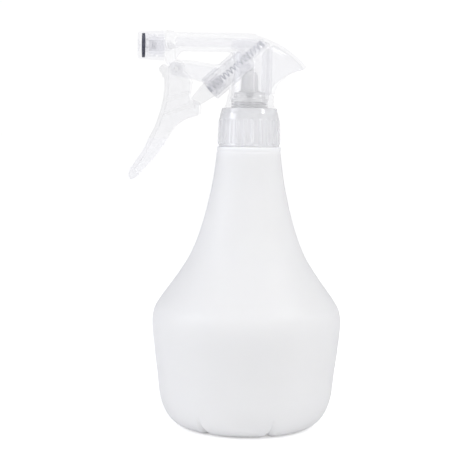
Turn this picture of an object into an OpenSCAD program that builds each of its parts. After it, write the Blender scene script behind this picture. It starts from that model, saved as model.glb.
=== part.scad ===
// Trigger sprayer on a flared, milky squeeze bottle.
// Frame: +Z up along the bottle's axis, origin at the centre of the resting
// plane, the nozzle points along -X. All sizes in millimetres.

/* [Bottle] */
// Wall thickness of the blow-moulded bottle
bottle_wall = 1.2; // [0.9:0.1:1.5]
// Depth of the radial grooves that divide the base into feet
groove_depth = 1.5; // [1:0.1:1.8]
// Width of each base groove
groove_width = 3.4; // [2.6:0.2:4.2]
// How many grooves the base has
groove_count = 7; // [5:1:8]
// Height of the neck's sealing rim above the resting plane
rim_z = 151.4; // [151.4:0.1:151.4]
// Radius of the neck below the thread
neck_r = 12.55; // [12.5:0.01:12.6]
// Radius over the neck's thread
thread_r = 13.6; // [13.5:0.05:13.7]
// Radius of the neck's mouth
mouth_r = 10.8; // [10.4:0.1:11]
// Thread pitch of neck and collar
thread_pitch = 4.233; // [4.233:0.001:4.233]

/* [Collar] */
// Number of grip ribs round the screw collar
collar_ribs = 24; // [12:2:30]
// Width of one grip rib
rib_w = 1.9; // [1.4:0.1:2.2]

/* [Pump] */
// Angle of the pump cylinder above the horizontal
pump_angle = 41.5; // [41.5:0.5:41.5]
// Outer radius of the pump cylinder
pump_or = 6.3; // [6.2:0.05:6.35]
// Bore radius of the pump cylinder
pump_br = 5.0; // [4.9:0.05:5]
// Radius of the narrow passage that holds the spring
passage_r = 2.1; // [2.05:0.05:2.3]
// Coils in the return spring
spring_coils = 17; // [12:1:20]
// Wire diameter of the return spring
spring_wire = 0.6; // [0.5:0.05:0.65]

/* [Trigger] */
// Half of the trigger's overall width
trig_hw = 8.0; // [7.8:0.1:8.4]
// Half of the clear width between the trigger's side plates
trig_iw = 6.6; // [6.6:0.05:6.7]
// Thickness of the trigger's finger wall
trig_wall = 1.8; // [1.5:0.1:2.1]
// Radius of the pivot pin
pin_r = 1.3; // [1.3:0.05:1.4]

/* [Nozzle] */
// Outer radius of the barrel
barrel_r = 4.6; // [4.5:0.05:4.65]
// Radius of the flow channel in the barrel
channel_r = 2.2; // [2.1:0.1:2.3]
// Outer radius of the nozzle cap at its front
cap_front_r = 6.6; // [6.55:0.05:6.65]
// Outer radius of the nozzle cap at its back
cap_back_r = 7.3; // [7.25:0.05:7.35]
// Radius of the spray orifice
orifice_r = 0.4; // [0.3:0.05:0.5]

/* [Hidden] */

pump_x = -19.5;    // centre of the pump cylinder's mouth
pump_z = 167.3;
pivot = [-36.2, 176.7];
barrel_z = 189.75;
cap_z = 187.65;
tower_r = 11;
milky = [0.93, 0.93, 0.94];
clear_pp = [0.88, 0.88, 0.93];
frosted = [0.95, 0.95, 0.96];
valve_grey = [0.72, 0.72, 0.73];
navy = [0.10, 0.14, 0.26];
steel = [0.62, 0.63, 0.66];

// ---- functions -----------------------------------------------------------

// A point of a smooth curve through four neighbours
function cr(a, b, c, d, t) = 0.5 * ((2 * b) + (c - a) * t
    + (2 * a - 5 * b + 4 * c - d) * t * t + (3 * b - a - 3 * c + d) * t * t * t);
// A smooth curve through the points of P, with n steps to each span
function smooth(P, n) = [for (i = [0:len(P) - 2]) for (k = [0:n - 1])
    cr(P[max(i - 1, 0)], P[i], P[i + 1], P[min(i + 2, len(P) - 1)], k / n),
    P[len(P) - 1]];
function rev(P) = [for (i = [len(P) - 1:-1:0]) P[i]];
function unit(v) = v / norm(v);
// P moved sideways by d, to the left of its direction of travel
function side(P, d) = [for (i = [0:len(P) - 1])
    let (t = unit(P[min(i + 1, len(P) - 1)] - P[max(i - 1, 0)]))
    P[i] + d * [-t[1], t[0]]];

// Heel of the bottle: a superellipse from the foot ring to the side wall
heel_rc = 27.5;
heel_r = 44.0;
heel_h = 29;
heel_p = 2.48;
function heel(a, inset, lift) = [
    heel_rc + (heel_r - inset - heel_rc) * pow(sin(a), 2 / heel_p),
    lift + (heel_h - lift) * (1 - pow(cos(a), 2 / heel_p))];
// Side wall from the heel to the shoulder under the collar: [radius, height]
body_pts = [[43.8, 22], [44.3, 27], [45.1, 33], [45.9, 40], [46.6, 46],
    [46.95, 51.5], [46.6, 56], [45.3, 60], [42.1, 65], [37.7, 71], [33.5, 77],
    [29.2, 84], [25.6, 92], [22.6, 101], [19.75, 112], [17.7, 122],
    [16.4, 131], [15.9, 136]];
body_curve = smooth(body_pts, 4);
heel_out = [for (a = [0:5:70]) heel(a, 0, 0)];
heel_in = [for (a = [0:5:70]) heel(a, bottle_wall, bottle_wall + 0.3)];
heel_top = 21.9;

// ---- helpers ---------------------------------------------------------------

// Puts local +Z along the pump cylinder's axis, local +X towards the neck
module along_pump() {
    translate([pump_x, 0, pump_z]) rotate([0, 90 - pump_angle, 0]) children();
}
// Puts local +Z along -X at height z, starting from x
module along_barrel(x, z) {
    translate([x, 0, z]) rotate([0, -90, 0]) children();
}
// A plate of the outline P in the XZ plane, from y0 to y1
module plate(P, y0, y1) {
    translate([0, y1, 0]) rotate([90, 0, 0]) linear_extrude(height = y1 - y0)
        polygon(P);
}
// A helical ridge: root radius r0, crest radius r1, half heights h0 and h1
module thread(r0, r1, h0, h1, z0, turns, pitch, a0 = 0) {
    step = 15;
    n = floor(turns * 360 / step);
    dir = r1 > r0 ? 1 : -1;
    function grow(i) = min(1, min(i, n - i) / 3);
    pts = [for (i = [0:n]) let (a = a0 + i * step, z = z0 + pitch * i * step / 360,
        g = 0.12 + 0.88 * grow(i), rc = r0 + (r1 - r0) * g, hr = h0 * g, hc = h1 * g)
        each [[r0 * cos(a), r0 * sin(a), z - hr], [rc * cos(a), rc * sin(a), z - hc],
            [rc * cos(a), rc * sin(a), z + hc], [r0 * cos(a), r0 * sin(a), z + hr]]];
    quads = [for (i = [0:n - 1]) for (k = [0:3])
        let (a = 4 * i + k, b = 4 * i + (k + 1) % 4)
        each (dir > 0 ? [[a, b, a + 4], [b, b + 4, a + 4]]
                      : [[a, a + 4, b], [b, a + 4, b + 4]])];
    ends = dir > 0
        ? [[0, 2, 1], [0, 3, 2], [4 * n, 4 * n + 1, 4 * n + 2], [4 * n, 4 * n + 2, 4 * n + 3]]
        : [[0, 1, 2], [0, 2, 3], [4 * n, 4 * n + 2, 4 * n + 1], [4 * n, 4 * n + 3, 4 * n + 2]];
    polyhedron(pts, concat(quads, ends));
}
// A compression spring along +Z with closed ends: coil radius, wire radius,
// coils, free length, wire sides and steps to a turn
module coil(rc, rw, coils, len, sides = 6, steps = 14) {
    n = coils * steps;
    closed = 2 * rw * 1.08;
    function rise(t) = let (e = 1.0, m = coils - 2 * e,
        p = (len - 2 * rw - 2 * e * closed) / m)
        t < e ? closed * t : t < coils - e ? closed * e + p * (t - e)
        : closed * e + p * m + closed * (t - coils + e);
    pts = [for (i = [0:n]) let (t = i / steps, a = 360 * t, z = rw + rise(t))
        for (k = [0:sides - 1]) let (b = 360 * k / sides)
        [(rc + rw * cos(b)) * cos(a), (rc + rw * cos(b)) * sin(a), z + rw * sin(b)]];
    faces = [for (i = [0:n - 1]) for (k = [0:sides - 1])
        let (a = sides * i + k, b = sides * i + (k + 1) % sides)
        each [[a, b, a + sides], [b, b + sides, a + sides]]];
    polyhedron(pts, concat(faces, [[for (k = [sides - 1:-1:0]) k]],
        [[for (k = [0:sides - 1]) sides * n + k]]));
}

// ---- bottle ------------------------------------------------------------------

// Base grooves, evenly spaced round the axis
groove_a0 = 24.9;
heel_fine = [for (a = [0:4:64]) heel(a, 0, 0)];
function groove_at(z) = groove_depth * max(0, 1 - z / 11) - (z > 11 ? 0.2 : 0);
module groove_plates(w) {
    for (k = [0:groove_count - 1]) rotate([0, 0, groove_a0 + 360 / groove_count * k])
        translate([11, -w / 2, -5]) cube([39, w, 18]);
}
// What the grooves cut away, or with extra the wall they leave behind them. They
// are deepest under the foot and fade out up the heel
module grooves(extra, w) {
    inward = side(heel_fine, 1);
    pts = [for (i = [0:len(heel_fine) - 1]) heel_fine[i]
        + (inward[i] - heel_fine[i]) * (groove_at(heel_fine[i][1]) + extra)];
    difference() {
        groove_plates(w);
        rotate_extrude($fn = 160) polygon(concat([[0, 20], [0, extra], [12, extra],
            [17, groove_depth + extra]], pts, [[pts[len(pts) - 1][0], 20]]));
    }
}

module bottle() {
    color(milky) difference() {
        union() {
            rotate_extrude($fn = 160) polygon(concat([[0, 0]], heel_out, body_curve,
                [[15.6, 136.7], [15.78, 137.2], [15.78, 138.45], [15.5, 138.85],
                [neck_r, 139.05], [neck_r, rim_z - 0.4], [neck_r - 0.4, rim_z],
                [0, rim_z]]));
            thread(neck_r - 0.3, thread_r, 1.05, 0.5, 142.9, 1.1, thread_pitch);
        }
        grooves(0, groove_width);
        difference() {
            rotate_extrude($fn = 160) polygon(concat([[0, bottle_wall + 0.7],
                [20, bottle_wall + 0.6], [22, bottle_wall + 0.4]], heel_in,
                [for (p = body_curve) if (p[1] < 133) [p[0] - bottle_wall, p[1]]],
                [[14.6, 134.5], [13.6, 136.2], [11.6, 137.6], [mouth_r, 139.6],
                [mouth_r, rim_z + 1], [0, rim_z + 1]]));
            grooves(bottle_wall + 0.4, groove_width + 2.4);
        }
    }
}

// ---- collar and its seal -------------------------------------------------------

module screw_collar() {
    color(clear_pp) difference() {
        union() {
            difference() {
                union() {
                    rotate_extrude($fn = 120) polygon([[0, 157.9], [13.2, 157.9],
                        [13.55, 157.6], [13.9, 155.7], [14.1, 155.4], [14.55, 152.9],
                        [14.75, 152.1], [14.75, 151.6], [15.15, 139.4], [0, 139.4]]);
                    intersection() {
                        rotate_extrude($fn = 120) polygon([[0, 152.2], [14.7, 152.2],
                            [15.05, 151.7], [15.6, 139.7], [15.3, 139.4], [0, 139.4]]);
                        for (i = [0:collar_ribs / 2 - 1])
                            rotate([0, 0, 360 / collar_ribs * i])
                                translate([-17, -rib_w / 2, 139]) cube([34, rib_w, 14]);
                    }
                }
                translate([0, 0, 139]) cylinder(r = 13.95, h = 12.6, $fn = 120);
                translate([0, 0, 151.5]) cylinder(r = 13.1, h = 4.7, $fn = 120);
                translate([0, 0, 156]) cylinder(r = 10.7, h = 3, $fn = 96);
            }
            thread(14.3, 12.95, 1.05, 0.45, 142.9 - thread_pitch / 2, 1.05,
                thread_pitch);
        }
    }
}

module neck_gasket() {
    color([0.86, 0.86, 0.87]) difference() {
        translate([0, 0, rim_z + 0.05]) cylinder(r = 12.4, h = 1.4, $fn = 96);
        translate([0, 0, rim_z - 1]) cylinder(r = 9.4, h = 4, $fn = 96);
    }
}

// ---- sprayer housing -------------------------------------------------------------

// The hood's top line, from the barrel to the tip of the fin
hood_top = [[-17, 194.3], [-9, 194.35], [-4, 194.4], [-1, 194.25], [3, 193.55],
    [7, 192.45], [11, 190.9], [15, 189.1], [19, 186.6], [23, 183.5], [26, 180.8],
    [28.4, 178.1]];
hood_a = -19;      // tilt of the axis about which the hood's top is turned
hood_z = 182;
function hood_s(p) = [for (i = [0]) (p[0] * cos(hood_a) + (p[1] - hood_z) * sin(hood_a))][0];
function hood_r(p) = -p[0] * sin(hood_a) + (p[1] - hood_z) * cos(hood_a);
// Limit under the hood's crowned top, inset by d
module under_crown(d) {
    translate([0, 0, hood_z]) rotate([0, 90 - hood_a, 0]) rotate([0, 0, 90])
        rotate_extrude($fn = 96) polygon(concat([[0, hood_s(hood_top[0])]],
            [for (p = hood_top) [max(hood_r(p) - d, 0.5), hood_s(p)]],
            [[0, hood_s(hood_top[len(hood_top) - 1])]]));
    translate([0, 0, hood_z]) rotate([0, -hood_a, 0])
        translate([-30, -20, -40]) cube([62, 40, 40.05]);
}
// Half widths of the hood seen from above: [x, half width]
hood_plan_pts = [[-16, 4.7], [-11, 6.9], [-6, 9.8], [-2, 11.1], [1, 11.3],
    [4, 11.0], [8, 10.2], [12, 9.2], [16, 8.1], [20, 6.8], [24, 5.4], [27, 4.0],
    [28.5, 2.7]];
module hood_plan(d, front) {
    P = [for (p = hood_plan_pts) if (p[0] >= front) [p[0] - (p[0] > 20 ? 0.9 * d : 0),
        p[1] - d]];
    polygon(concat(P, rev([for (p = P) [p[0], -p[1]]])));
}
hood_side = [[11.4, 164.6], [11.9, 166.8], [12.7, 168.8], [13.4, 169.8],
    [14.6, 170.9], [16.3, 172.4], [18.2, 173.9], [19.5, 174.8], [22.5, 175.9],
    [26, 177], [28.6, 178.6], [30, 199], [-15.5, 199], [-15.5, 186.6],
    [-9.2, 185.5], [-4, 184.2], [1, 182], [3.2, 178], [4.2, 172], [4.6, 164.6]];
// The hollow under the hood, open below the fin
hood_hollow = [[4.5, 162], [14, 162], [32, 175], [32, 199], [-9, 199],
    [-9, 187.2], [-6, 186], [-6, 176], [2, 170]];

module hood() {
    difference() {
        intersection() {
            plate(hood_side, -12, 12);
            translate([0, 0, 160]) linear_extrude(height = 40) hood_plan(0, -20);
            under_crown(0);
        }
        intersection() {
            plate(hood_hollow, -13, 13);
            translate([0, 0, 159]) linear_extrude(height = 42) hood_plan(1.4, -10);
            under_crown(1.5);
        }
    }
}
// Wall of the neck tower, flat at the front, up to the middle of the hood's skin
module tower() {
    intersection() {
        union() {
            difference() {
                translate([0, 0, 164]) cylinder(r = tower_r, h = 32, $fn = 120);
                translate([0, 0, 159]) cylinder(r = tower_r - 1.4, h = 38, $fn = 120);
            }
            translate([-9.8, -5.2, 164]) cube([1.1, 10.4, 32]);
        }
        translate([-9.8, -14, 160]) cube([30, 28, 40]);
        plate([[-12, 163], [13, 163], [13, 199], [-4, 199], [-4, 186], [-9.2, 185.0],
            [-12, 182.4]], -14, 14);
        under_crown(0.7);
    }
}

// The bracket that carries the trigger's pivot
strut_out = [[-38.9, 174.9], [-39.2, 177], [-40.9, 179.6], [-41.2, 180.4], [-41.2, 184.6],
    [-37.6, 184.6], [-37.3, 180.9], [-33.0, 180.6], [-27.3, 180.2], [-20, 179.0],
    [-13, 178.6], [-13, 174.5], [-22.6, 170.3], [-27, 171.5], [-32, 172.7],
    [-36.2, 173.2], [-38.4, 173.9]];
strut_web = [[-41.2, 179.4], [-41.2, 184.6], [-37.6, 184.6], [-37.3, 180.9],
    [-33.0, 180.6], [-27.3, 180.2], [-20, 179.0], [-13, 178.6], [-13, 177.4],
    [-20, 177.6], [-27.4, 178.8], [-33, 179.2], [-38.4, 179.4]];
module strut() {
    for (s = [-1, 1]) plate(strut_out, s > 0 ? 4.8 : -6.2, s > 0 ? 6.2 : -4.8);
    plate(strut_web, -5.5, 5.5);
    // gusset between the nozzle flange and the barrel
    plate([[-37.9, 180.6], [-37.0, 180.7], [-33.4, 185.5], [-33.4, 187], [-37.9, 187]],
        -1.5, 1.5);
}

module sprayer_housing() {
    color(clear_pp) difference() {
        union() {
            // barrel, flange and nozzle stub
            along_barrel(3, barrel_z) cylinder(r = barrel_r, h = 42, $fn = 96);
            along_barrel(-37.4, cap_z) cylinder(r = 7.4, h = 4.5, $fn = 96);
            along_barrel(-41.5, cap_z) cylinder(r = 4.1, h = 8.1, $fn = 72);
            along_barrel(-46.7, cap_z) cylinder(r = 4.85, h = 0.9, $fn = 72);
            // pump cylinder, its mouth ring and the spring passage
            along_pump() translate([0, 0, -0.6]) cylinder(r = pump_or, h = 24.8, $fn = 96);
            along_pump() translate([0, 0, 22]) cylinder(r = 3.0, h = 13.3, $fn = 72);
            strut();
            hood();
            tower();
            // foot of the neck tower: three beads, a shoulder and the neck that
            // the collar turns on
            intersection() {
              plate([[-13, 155], [-13, 157.6], [-12.3, 158.4], [-11.5, 159.7],
                  [-10.85, 161.3], [-10.4, 163.2], [-10.15, 166], [14, 166],
                  [14, 155]], -14, 14);
              difference() {
                rotate_extrude($fn = 120) polygon([[0, 155.9], [10.4, 155.9],
                    [10.4, 158.1], [12.0, 158.1], [12.2, 158.5], [12.2, 159.4],
                    [11.9, 159.7], [11.9, 160.6], [12.2, 160.9], [12.2, 161.5],
                    [11.9, 161.8], [11.9, 163.0], [12.2, 163.3], [12.2, 163.9],
                    [11.9, 164.3], [11.0, 164.9], [0, 164.9]]);
                translate([0, 0, 155]) cylinder(r = 9, h = 6.9, $fn = 96);
                translate([0, 0, 161.8]) cylinder(r = 9.6, h = 4, $fn = 96);
              }
            }
        }
        // the pump bore clears the strut and hood parts that reach into it
        along_pump() translate([0, 0, -2]) cylinder(r = pump_br, h = 24.5, $fn = 96);
        along_pump() translate([0, 0, 20]) cylinder(r = passage_r, h = 14.6, $fn = 64);
        along_barrel(6.6, barrel_z) cylinder(r = channel_r, h = 43.2, $fn = 64);
        // inlet port from the valve chamber into the pump bore
        translate([-1, 0, 173.2]) cylinder(r = 1.3, h = 6, $fn = 48);
        // nozzle stub: outlet hole, ball seat and valve pocket
        along_barrel(-35.4, cap_z) cylinder(r = 1.0, h = 4, $fn = 48);
        along_barrel(-37.6, cap_z) cylinder(r1 = 1.0, r2 = 2.6, h = 1.6, $fn = 64);
        along_barrel(-39.19, cap_z) cylinder(r = 2.6, h = 12, $fn = 64);
        // pivot holes in the bracket
        translate([pivot[0], 9, pivot[1]]) rotate([90, 0, 0])
            cylinder(r = pin_r + 0.06, h = 18, $fn = 48);
    }
}

// ---- intake: plug, seal, dome, ball, dip tube ----------------------------------

module intake_plug() {
    color(valve_grey) rotate_extrude($fn = 96) polygon([[2.5, 160.6], [2.5, 146.4],
        [4.0, 146.4], [4.2, 147.0], [4.6, 152.95], [4.6, 161.0], [7.0, 161.0],
        [7.0, 154.3], [9.0, 152.95], [12.6, 152.95], [12.6, 155.85], [8.9, 155.85],
        [8.9, 159.0], [7.9, 159.0], [7.9, 160.8], [8.9, 160.8], [8.9, 162.7],
        [7.7, 162.8], [7.7, 165.7], [3.2, 165.7], [3.2, 165.1], [2.6, 164.8],
        [1.3, 163.2], [1.3, 160.6]]);
}
module plug_seal() {
    color([0.55, 0.56, 0.58]) translate([0, 0, 159.9])
        rotate_extrude($fn = 96) translate([8.44, 0]) circle(r = 0.52, $fn = 24);
}
module valve_dome() {
    color(valve_grey) difference() {
        rotate_extrude($fn = 96) polygon([[3.0, 165.75], [5.4, 165.75], [5.4, 166.3],
            [4.3, 166.6], [4.15, 168.5], [4.0, 172.4], [3.8, 174.2], [3.3, 175.3],
            [2.6, 175.9], [2.1, 176.2], [2.1, 178.6], [0, 178.6], [0, 169.7], [3.0, 169.7]]);
        along_pump() cylinder(r = pump_or + 0.03, h = 30, $fn = 96);
        translate([-1, 0, 170]) cylinder(r = 1.15, h = 8, $fn = 48);
        translate([-2.1, -0.7, 169.2]) cube([4.6, 1.4, 2.4]);
        translate([-0.6, -2.6, 169.2]) cube([1.2, 5.2, 2.0]);
    }
}
module inlet_ball() {
    color([0.8, 0.85, 0.86]) translate([0, 0, 165.13]) sphere(r = 2.2, $fn = 48);
}
module dip_tube() {
    color([0.94, 0.94, 0.95]) difference() {
        translate([0, 0, 7]) cylinder(r = 2.46, h = 153.5, $fn = 48);
        translate([0, 0, 6]) cylinder(r = 1.7, h = 156, $fn = 48);
        translate([-2.6, 0, 5.5]) rotate([0, 35, 0]) translate([-4, -5, -6])
            cube([14, 10, 6]);
    }
}

// ---- piston and return spring ----------------------------------------------------

module piston_rod() {
    color(frosted) along_pump() difference() {
        rotate_extrude($fn = 72) polygon([[0, -10.4], [2.0, -10.4], [2.55, -10.15],
            [2.85, -9.6], [4.3, -1.0], [4.3, 1.6], [3.3, 1.6], [3.3, 6.2],
            [3.75, 6.3], [3.75, 6.8], [3.4, 7.1], [0, 7.1]]);
        translate([0, 0, -1.1]) cylinder(r = 2.15, h = 9, $fn = 48);
    }
}
module piston_cup() {
    color([0.62, 0.63, 0.66]) along_pump() rotate_extrude($fn = 96)
        polygon([[3.33, 1.65], [4.6, 1.65], [4.95, 1.7], [4.95, 2.2], [4.4, 2.9],
            [4.4, 4.9], [4.95, 5.6], [4.95, 6.1], [4.6, 6.15], [3.9, 5.5],
            [3.33, 5.5]]);
}
module return_spring() {
    color(steel) along_pump() translate([0, 0, -1.05])
        coil(1.45, spring_wire / 2, spring_coils, 35.25);
}

// ---- trigger -----------------------------------------------------------------------

// Finger edge from the knob down to the tip, and rear edge back up
front_pts = [[-41.9, 174], [-41.8, 168], [-42.3, 163], [-43.3, 158], [-44.6, 153.5],
    [-46.6, 148], [-49.2, 143], [-52.2, 136.8], [-55.2, 132.2], [-57.6, 128.8],
    [-58.9, 126.2], [-59.3, 124.4], [-59, 122.9], [-58.2, 122.3]];
rear_pts = [[-58.2, 122.3], [-57.2, 122.6], [-55.4, 123.8], [-52.6, 126.4],
    [-48.3, 131], [-44.4, 136], [-41.4, 140.3], [-38.8, 145], [-36.4, 148.4],
    [-32.8, 151.2], [-29, 152.9], [-26, 153.6]];
jaw_pts = [[-24.7, 154.4], [-24.4, 155.6], [-24.4, 158.8], [-25.2, 160.2],
    [-27.2, 161.0], [-29.0, 162.2], [-29.3, 164.4], [-29.0, 167.6], [-28.8, 170.6],
    [-30.2, 173.2]];
front_curve = smooth(front_pts, 3);
rear_curve = smooth(rear_pts, 3);
ear = [for (a = [-20:20:160]) pivot + 3.7 * [cos(a), sin(a)]];
trigger_outline = concat(front_curve, rear_curve, smooth(jaw_pts, 2), ear,
    [[-41.6, 176.5]]);
inner_front = side(front_curve, trig_wall);

bump = [-28.86, 159.02]; // centre of the round rib that pushes the piston

module trigger() {
    color(frosted) difference() {
        union() {
            difference() {
                plate(trigger_outline, -trig_hw, trig_hw);
                // hollow between the side plates, open to the rear and the top
                plate(concat([for (i = [1:len(inner_front) - 5]) inner_front[i]],
                    [[-50, 121], [-15, 121], [-15, 184], [-40.05, 184]]),
                    -trig_iw, trig_iw);
            }
            // knob across the top of the finger wall
            translate([-42.6, trig_hw, 176.5]) rotate([90, 0, 0])
                cylinder(r = 1.9, h = 2 * trig_hw, $fn = 48);
            plate([[-43.4, 176.2], [-42.8, 172.6], [-40.15, 172.6], [-41.0, 176.4]],
                -trig_hw, trig_hw);
            // round rib behind the piston rod and the two webs that carry it
            translate([bump[0], trig_iw + 0.5, bump[1]]) rotate([90, 0, 0])
                cylinder(r = 2.0, h = 2 * trig_iw + 1, $fn = 48);
            plate([[-28.6, 160.1], [-42.2, 155.2], [-42.0, 153.8], [-28.4, 158.6]],
                -trig_iw - 0.5, trig_iw + 0.5);
            plate([[-29.6, 165.95], [-41.6, 162.0], [-41.5, 160.7], [-29.6, 164.6]],
                -trig_iw - 0.5, trig_iw + 0.5);
        }
        translate([pivot[0], 10, pivot[1]]) rotate([90, 0, 0])
            cylinder(r = pin_r, h = 20, $fn = 48);
    }
}
module trigger_pin() {
    color(frosted) translate([pivot[0], 7.9, pivot[1]]) rotate([90, 0, 0])
        cylinder(r = pin_r - 0.005, h = 15.8, $fn = 48);
}

// ---- nozzle --------------------------------------------------------------------------

module nozzle_cap() {
    color(clear_pp) along_barrel(-42.3, cap_z) difference() {
        rotate_extrude($fn = 96) polygon([[0, 0], [cap_back_r - 0.2, 0], [cap_back_r, 0.3],
            [cap_front_r + 0.06, 11.4], [cap_front_r - 0.15, 12.3],
            [cap_front_r - 0.7, 12.9], [3.2, 12.9], [2.2, 11.95], [0, 11.95]]);
        difference() {
            union() {
                translate([0, 0, -1]) cylinder(r = 5.5, h = 11.9, $fn = 96);
                translate([0, 0, 8.2]) cylinder(r = 5.95, h = 2.7, $fn = 96);
            }
            // snap bead that runs behind the bead of the stub
            translate([0, 0, 3.0]) difference() {
                cylinder(r = 6.2, h = 1.0, $fn = 96);
                translate([0, 0, -1]) cylinder(r = 4.35, h = 3, $fn = 72);
            }
        }
        translate([0, 0, 9]) cylinder(r = orifice_r, h = 6, $fn = 32);
    }
}
module nozzle_gasket() {
    color(navy) along_barrel(-51.7, cap_z) difference() {
        cylinder(r = 5.9, h = 1.4, $fn = 96);
        translate([0, 0, -1]) cylinder(r = 3.8, h = 4, $fn = 72);
    }
}
module swirl_insert() {
    color(frosted) along_barrel(-46.2, cap_z) difference() {
        union() {
            cylinder(r = 2.54, h = 4.2, $fn = 64);
            translate([0, 0, 3.9]) cylinder(r = 3.4, h = 1.5, $fn = 64);
        }
        translate([0, 0, -1]) cylinder(r = 1.75, h = 3.2, $fn = 48);
        // three feed channels and the swirl slots in the face
        for (i = [0:2]) rotate([0, 0, 120 * i]) {
            translate([2.1, -0.4, -1]) cube([2, 0.8, 8]);
            translate([0.6, -0.35, 4.9]) cube([3.5, 0.7, 1]);
        }
        translate([0, 0, 4.9]) cylinder(r = 1.0, h = 1, $fn = 32);
    }
}
module outlet_ball() {
    color([0.8, 0.85, 0.86]) translate([-38.9, 0, cap_z]) sphere(r = 1.6, $fn = 48);
}
module outlet_spring() {
    color(steel) along_barrel(-40.08, cap_z) coil(1.22, 0.17, 7, 8.2, 6, 12);
}

bottle();
screw_collar();
neck_gasket();
sprayer_housing();
intake_plug();
plug_seal();
valve_dome();
inlet_ball();
dip_tube();
piston_rod();
piston_cup();
return_spring();
trigger();
trigger_pin();
nozzle_cap();
nozzle_gasket();
swirl_insert();
outlet_ball();
outlet_spring();
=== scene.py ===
import math

import bpy
import numpy as np
from mathutils import Matrix, Vector


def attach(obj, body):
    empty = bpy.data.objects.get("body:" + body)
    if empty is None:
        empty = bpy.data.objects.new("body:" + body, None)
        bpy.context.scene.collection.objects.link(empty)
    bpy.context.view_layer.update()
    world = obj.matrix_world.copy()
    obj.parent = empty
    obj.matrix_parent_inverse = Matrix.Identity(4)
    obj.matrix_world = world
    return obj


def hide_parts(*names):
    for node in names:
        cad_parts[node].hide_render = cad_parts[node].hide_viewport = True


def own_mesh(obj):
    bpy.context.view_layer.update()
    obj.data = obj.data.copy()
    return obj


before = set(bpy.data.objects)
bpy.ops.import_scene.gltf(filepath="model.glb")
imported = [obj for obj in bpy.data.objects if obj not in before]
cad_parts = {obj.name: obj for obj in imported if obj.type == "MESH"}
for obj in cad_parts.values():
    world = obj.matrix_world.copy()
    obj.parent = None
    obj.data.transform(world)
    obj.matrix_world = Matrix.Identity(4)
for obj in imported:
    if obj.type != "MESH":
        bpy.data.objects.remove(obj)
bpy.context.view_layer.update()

MM = 0.001

# ---------------------------------------------------------------- studio levels
FLOOR_GLOW = 0.465
ENV = [(0.0, (1.04, 1.04, 1.04)), (0.3, (1.03, 1.03, 1.035)), (0.6, (0.82, 0.82, 0.84)), (1.0, (0.88, 0.88, 0.9))]
DEPTH = [(0.0, (1.15, 1.15, 1.15)), (0.5, (0.82, 0.82, 0.83)), (0.75, (0.55, 0.55, 0.57)), (1.0, (0.43, 0.43, 0.45))]
KEY_LEFT, KEY_RIGHT, TOP, STRIP = 2.1, 2.1, 0.6, 0.35

# ---------------------------------------------------------------- dimensions (mm)
PUMP0 = np.array([-19.5, 167.3])          # centre of the pump cylinder's mouth, x and z
PA = math.radians(41.5)
PU = np.array([math.cos(PA), math.sin(PA)])
PIVOT = np.array([-36.2, 176.7])
BARREL_Z = 189.75
CAP_Z = 187.65
RIM_Z = 151.4


# ---------------------------------------------------------------- small geometry kit
def link(ob):
    bpy.context.scene.collection.objects.link(ob)
    return ob


def mesh_object(name, verts, faces, smooth=True, scale=MM):
    me = bpy.data.meshes.new(name)
    v = np.asarray(verts, float) * scale
    me.from_pydata(v.tolist(), [], [list(map(int, f)) for f in faces])
    me.validate()
    me.update()
    if smooth:
        me.shade_smooth()
    return link(bpy.data.objects.new(name, me))


def grid_mesh(name, verts, quads, tris=None, smooth=True):
    """Fast mesh from numpy arrays: verts in mm, quads (n,4), tris (m,3)."""
    me = bpy.data.meshes.new(name)
    v = (np.asarray(verts, np.float64) * MM).astype(np.float32)
    quads = np.asarray(quads, np.int32).reshape(-1, 4)
    tris = np.asarray(tris if tris is not None else [], np.int32).reshape(-1, 3)
    nl = quads.size + tris.size
    me.vertices.add(len(v))
    me.vertices.foreach_set("co", v.ravel())
    me.loops.add(nl)
    me.loops.foreach_set("vertex_index", np.concatenate([quads.ravel(), tris.ravel()]))
    me.polygons.add(len(quads) + len(tris))
    starts = np.concatenate([np.arange(len(quads)) * 4, quads.size + np.arange(len(tris)) * 3])
    me.polygons.foreach_set("loop_start", starts.astype(np.int32))
    me.update(calc_edges=True)
    me.validate()
    if smooth:
        me.shade_smooth()
    return link(bpy.data.objects.new(name, me))


def catmull(P, n):
    P = np.asarray(P, float)
    out = []
    for i in range(len(P) - 1):
        a, b, c, d = P[max(i - 1, 0)], P[i], P[i + 1], P[min(i + 2, len(P) - 1)]
        for k in range(n):
            t = k / n
            out.append(0.5 * (2 * b + (c - a) * t + (2 * a - 5 * b + 4 * c - d) * t * t
                              + (3 * b - a - 3 * c + d) * t ** 3))
    out.append(P[-1])
    return np.array(out)


def round_profile(P, r, closed=True, n=4):
    """Rounds each corner of a polyline by up to r with n steps."""
    P = [np.asarray(p, float) for p in P]
    N = len(P)
    out = []
    for i in range(N):
        if not closed and i in (0, N - 1):
            out.append(P[i])
            continue
        a, b, c = P[i - 1], P[i], P[(i + 1) % N]
        u, v = a - b, c - b
        lu, lv = np.linalg.norm(u), np.linalg.norm(v)
        d = min(r, 0.42 * lu, 0.42 * lv)
        p0, p1 = b + u / lu * d, b + v / lv * d
        for k in range(n + 1):
            t = k / n
            out.append((1 - t) ** 2 * p0 + 2 * t * (1 - t) * b + t * t * p1)
    return np.array(out)


def resample(P, step, closed=True):
    """Adds points so that no span is longer than step, and keeps the corners."""
    P = np.asarray(P, float)
    out = []
    N = len(P)
    for i in range(N if closed else N - 1):
        a, b = P[i], P[(i + 1) % N]
        n = max(1, int(math.ceil(np.linalg.norm(b - a) / step)))
        for k in range(n):
            out.append(a + (b - a) * k / n)
    if not closed:
        out.append(P[-1])
    return np.array(out)


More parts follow.
